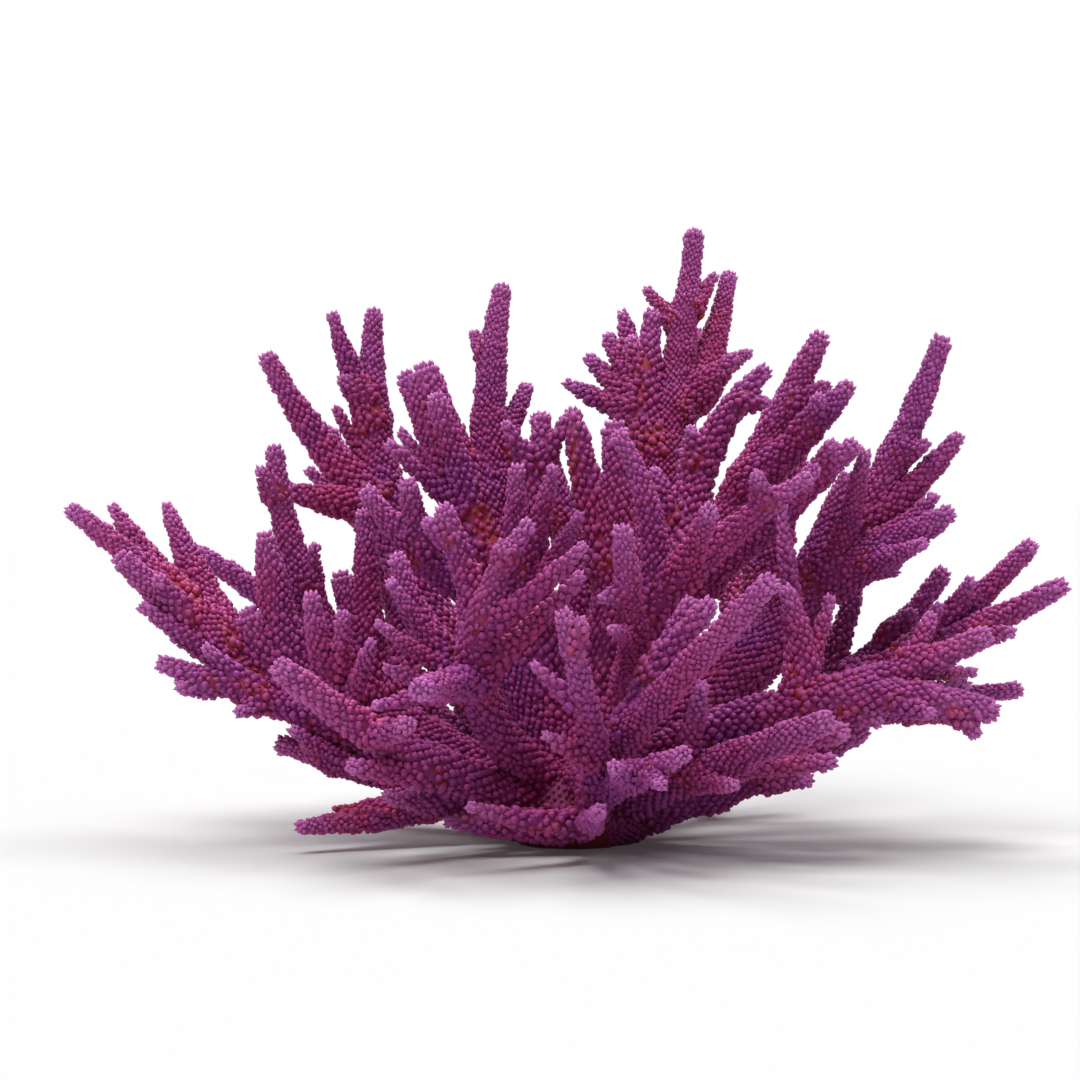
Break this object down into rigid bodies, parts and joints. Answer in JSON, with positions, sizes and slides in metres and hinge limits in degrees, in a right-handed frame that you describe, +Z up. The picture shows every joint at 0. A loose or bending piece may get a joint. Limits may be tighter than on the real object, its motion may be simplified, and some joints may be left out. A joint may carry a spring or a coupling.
{
  "type": "staghorn coral",
  "caption": "Bushy staghorn coral colony: tapering branches covered in small pointed corallites fan out from a narrow foot, cut flat so that it rests on a shelf or a reef rock.",
  "frame": {"origin": "the middle of the flat cut under the foot, at the height of what the coral rests on", "axes": "+Z up, +X to the right and +Y away as seen from the front, where the colony spreads widest"},
  "size_m": [0.458, 0.36, 0.294],
  "materials": {
    "coral_foot": "matt reddish skin over the fused foot, with small worn corallites and bare flesh-coloured patches",
    "coral_arm": "matt magenta to red-purple skin in spiral rows of beads, orange-red in the forks",
    "coral_branch": "matt magenta skin in spiral rows of beads, paler lilac towards the tips"
  },
  "bodies": {
    "root": {"arm_back": "coral_arm", "arm_back_centre": "coral_arm", "arm_back_left": "coral_arm", "arm_back_right": "coral_arm", "arm_centre": "coral_arm", "arm_centre_front": "coral_arm", "arm_centre_left": "coral_arm", "arm_centre_right": "coral_arm", "arm_front": "coral_arm", "arm_front_left": "coral_arm", "arm_front_right": "coral_arm", "arm_left": "coral_arm", "arm_left_front": "coral_arm", "arm_left_upright": "coral_arm", "arm_low_back": "coral_arm", "arm_low_back_right": "coral_arm", "arm_low_front": "coral_arm", "arm_low_left": "coral_arm", "arm_low_left_back": "coral_arm", "arm_low_right": "coral_arm", "arm_low_right_back": "coral_arm", "arm_right_centre": "coral_arm", "arm_right_front": "coral_arm", "arm_right_low": "coral_arm", "arm_right_middle": "coral_arm", "arm_right_upper": "coral_arm", "arm_upper_left": "coral_arm", "back_centre_left": "coral_branch", "back_centre_right": "coral_branch", "back_left_fork": "coral_branch", "back_left_outer": "coral_branch", "back_left_upright": "coral_branch", "back_right_fork": "coral_branch", "back_right_upright": "coral_branch", "back_upright": "coral_branch", "centre_left_cluster": "coral_branch", "centre_posts": "coral_branch", "front_centre_post": "coral_branch", "front_left_facing": "coral_branch", "front_left_fan": "coral_branch", "front_left_lilac": "coral_branch", "front_low_branch": "coral_branch", "front_right_second": "coral_branch", "holdfast": "coral_foot", "left_centre_lilac": "coral_branch", "left_fan": "coral_branch", "left_front_posts": "coral_branch", "left_low_branch": "coral_branch", "right_centre_fork": "coral_branch", "right_centre_front": "coral_branch", "right_centre_lower": "coral_branch", "right_far_branch": "coral_branch", "right_far_upper": "coral_branch", "right_front_posts": "coral_branch", "right_inner_branch": "coral_branch", "right_low_fork": "coral_branch", "right_upper_fan": "coral_branch", "upper_left_outer": "coral_branch"}
  },
  "joints": []
}
